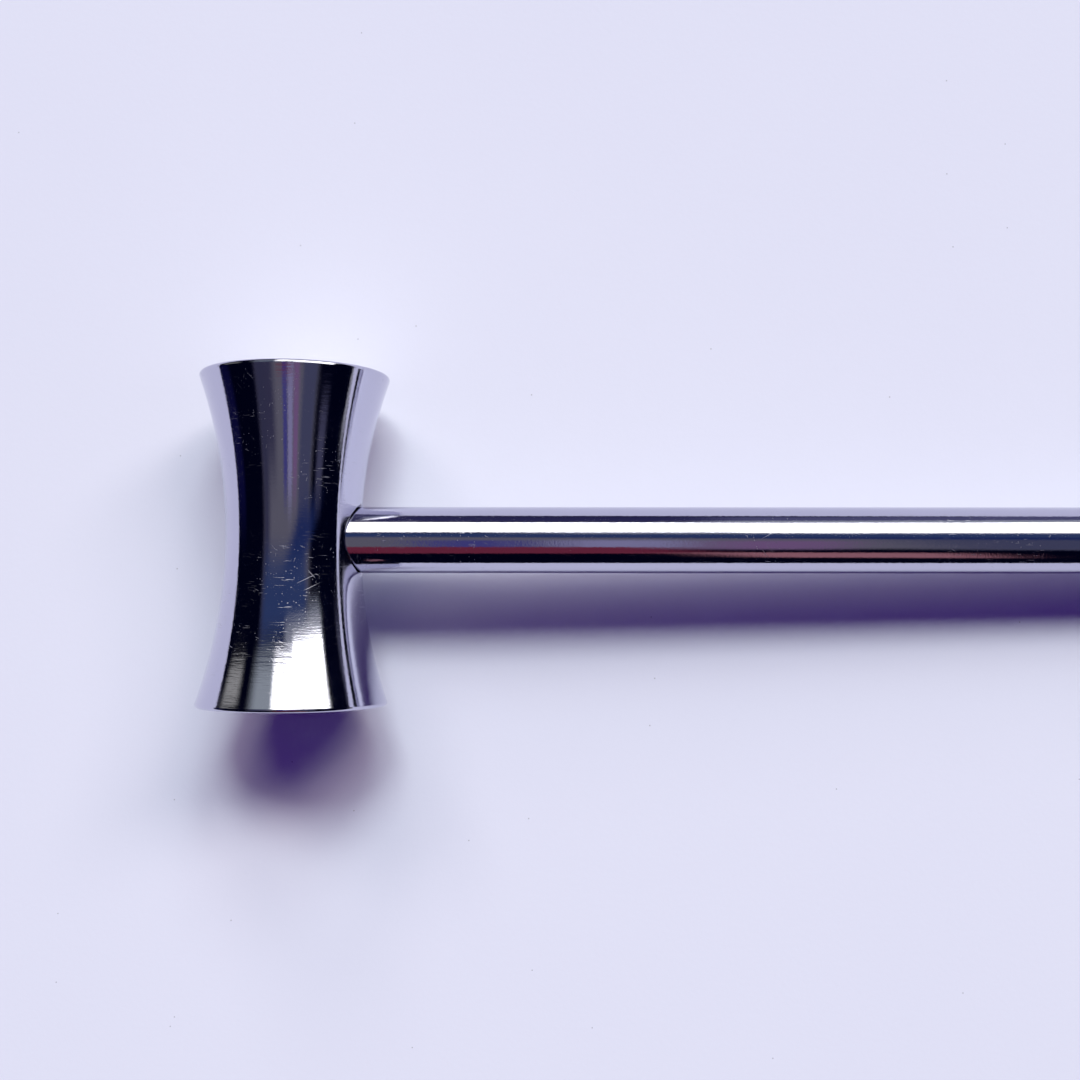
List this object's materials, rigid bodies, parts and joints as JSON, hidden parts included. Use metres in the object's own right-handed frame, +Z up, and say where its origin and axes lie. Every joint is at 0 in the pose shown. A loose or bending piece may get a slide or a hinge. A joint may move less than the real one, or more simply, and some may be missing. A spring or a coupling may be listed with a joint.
{
  "type": "reflex hammer",
  "caption": "Reflex hammer with a waisted, polished steel head, a rubber striking insert in each end of the head, and a plain round steel handle screwed into its side.",
  "frame": {"origin": "under the middle of the whole hammer, on the surface that it lies on", "axes": "+X from the head towards the handle's far end, +Y along the head's own axis, +Z up, with the hammer lying on both rims of its head and on the far end of its handle"},
  "size_m": [0.2014, 0.0404, 0.0228],
  "materials": {
    "head_steel": "mirror polish with fine turning marks and light scratches",
    "handle_steel": "mirror polish with faint lines along the rod",
    "stud_steel": "machined thread",
    "striking_rubber": "matte moulded rubber"
  },
  "bodies": {
    "root": {"head_body": "head_steel", "striking_insert_a": "striking_rubber", "striking_insert_b": "striking_rubber", "handle_rod": "handle_steel", "handle_stud": "stud_steel"}
  },
  "joints": []
}
